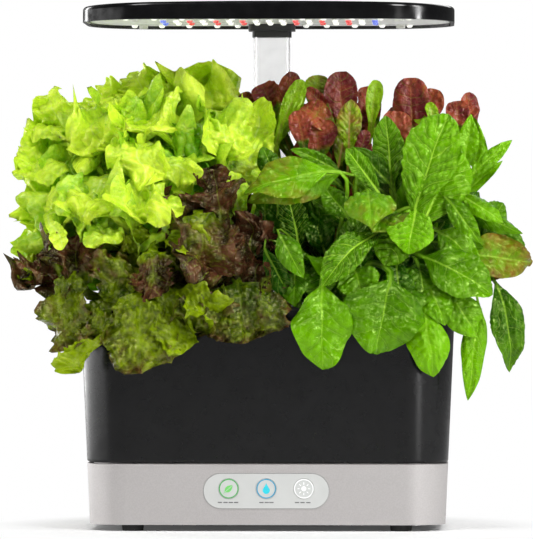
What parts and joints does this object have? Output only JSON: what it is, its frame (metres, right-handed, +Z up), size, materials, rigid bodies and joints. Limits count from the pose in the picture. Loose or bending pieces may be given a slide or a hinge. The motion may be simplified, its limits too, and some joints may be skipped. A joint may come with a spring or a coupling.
{
  "type": "countertop hydroponic garden",
  "caption": "Countertop hydroponic garden: a powered base with keys, a lift-off water bowl and grow deck of leafy plants in net cups, under an LED lamp on a telescopic post.",
  "frame": {"origin": "on the table, under the middle of the base's footprint", "axes": "+X to the right as seen from the keys, +Y to the back where the lamp's post stands, +Z up"},
  "size_m": [0.3646, 0.2505, 0.3747],
  "materials": {
    "silver_plastic": "warm silver paint on moulded plastic, satin",
    "black_plastic": "black moulded plastic",
    "screw_steel": "zinc plated",
    "foot_rubber": "soft, matt",
    "panel_plastic": "pale satin label",
    "key_plastic": "pale satin with a printed ring",
    "board_laminate": "green circuit board",
    "switch_steel": "stainless",
    "contact_brass": "plated",
    "post_plastic": "pale, slightly translucent",
    "lamp_gloss": "black, satin gloss",
    "board_white": "white solder mask",
    "peg_plastic": "milky",
    "led_white": "milky dome",
    "led_red": "red dome",
    "led_blue": "blue dome",
    "bowl_black": "black, fine satin texture",
    "pump_plastic": "black moulded plastic",
    "filter_foam": "open foam",
    "rotor_plastic": "white moulded plastic",
    "float_plastic": "orange moulded plastic",
    "deck_black": "black, satin",
    "basket_plastic": "pale moulded plastic",
    "sponge_foam": "peat sponge",
    "lime_leaf": "frilled lettuce leaf",
    "bronze_leaf": "bronze-edged lettuce leaf",
    "red_leaf": "red romaine leaf",
    "green_leaf": "glossy romaine leaf"
  },
  "bodies": {
    "base": {"base_housing": "silver_plastic", "bottom_cover": "black_plastic", "cover_screws": "screw_steel", "foot_front_left": "foot_rubber", "foot_front_right": "foot_rubber", "foot_rear_left": "foot_rubber", "foot_rear_right": "foot_rubber", "control_overlay": "panel_plastic", "control_board": "board_laminate", "board_screws": "screw_steel", "dome_switches": "switch_steel", "power_jack": "black_plastic", "base_contacts": "contact_brass", "post_sleeve": "black_plastic", "sleeve_collar": "black_plastic"},
    "key_food": {"key_food": "key_plastic"},
    "key_water": {"key_water": "key_plastic"},
    "key_light": {"key_light": "key_plastic"},
    "lamp": {"lamp_post": "post_plastic", "post_shoe": "black_plastic", "lamp_bracket": "black_plastic", "bracket_screws": "screw_steel", "lamp_shell": "lamp_gloss", "led_board": "board_white", "board_pegs": "peg_plastic", "white_leds": "led_white", "red_leds": "led_red", "blue_leds": "led_blue"},
    "bowl": {"bowl": "bowl_black", "bowl_contacts": "contact_brass", "pump_housing": "pump_plastic", "pump_shaft": "switch_steel", "pump_cover": "pump_plastic", "pump_filter": "filter_foam", "float_guide": "pump_plastic"},
    "rotor": {"pump_rotor": "rotor_plastic"},
    "float": {"water_float": "float_plastic"},
    "deck": {"grow_deck": "deck_black", "lid_pin": "switch_steel", "basket_1": "basket_plastic", "basket_2": "basket_plastic", "basket_3": "basket_plastic", "basket_4": "basket_plastic", "basket_5": "basket_plastic", "basket_6": "basket_plastic", "sponge_1": "sponge_foam", "sponge_2": "sponge_foam", "sponge_3": "sponge_foam", "sponge_4": "sponge_foam", "sponge_5": "sponge_foam", "sponge_6": "sponge_foam", "plant_1": "lime_leaf", "plant_2": "lime_leaf", "plant_3": "bronze_leaf", "plant_4": "red_leaf", "plant_5": "green_leaf", "plant_6": "green_leaf"},
    "fill_lid": {"fill_lid": "deck_black"}
  },
  "joints": [
    {"name": "lamp_height", "type": "slide", "parent": "base", "child": "lamp", "axis": [0, 0, 1], "range_m": [0, 0.066]},
    {"name": "press_food", "type": "slide", "parent": "base", "child": "key_food", "axis": [0, 0.999, 0.0436], "range_m": [0, 0.0005], "stiffness_N_per_m": 600},
    {"name": "press_water", "type": "slide", "parent": "base", "child": "key_water", "axis": [0, 0.999, 0.0436], "range_m": [0, 0.0005], "stiffness_N_per_m": 600},
    {"name": "press_light", "type": "slide", "parent": "base", "child": "key_light", "axis": [0, 0.999, 0.0436], "range_m": [0, 0.0005], "stiffness_N_per_m": 600},
    {"name": "bowl_lift", "type": "slide", "parent": "base", "child": "bowl", "axis": [0, 0, 1], "range_m": [0, 0.008]},
    {"name": "deck_lift", "type": "slide", "parent": "bowl", "child": "deck", "axis": [0, 0, 1], "range_m": [0, 0.008]},
    {"name": "float_rise", "type": "slide", "parent": "bowl", "child": "float", "axis": [0, 0, 1], "range_m": [0, 0.018]},
    {"name": "rotor_spin", "type": "hinge", "parent": "bowl", "child": "rotor", "pos_m": [0, 0.01, 0.0683], "axis": [0, 0, 1], "continuous": true},
    {"name": "lid_hinge", "type": "hinge", "parent": "deck", "child": "fill_lid", "pos_m": [0, -0.0416, 0.1612], "axis": [-1, 0, 0], "range_deg": [0, 95]}
  ]
}
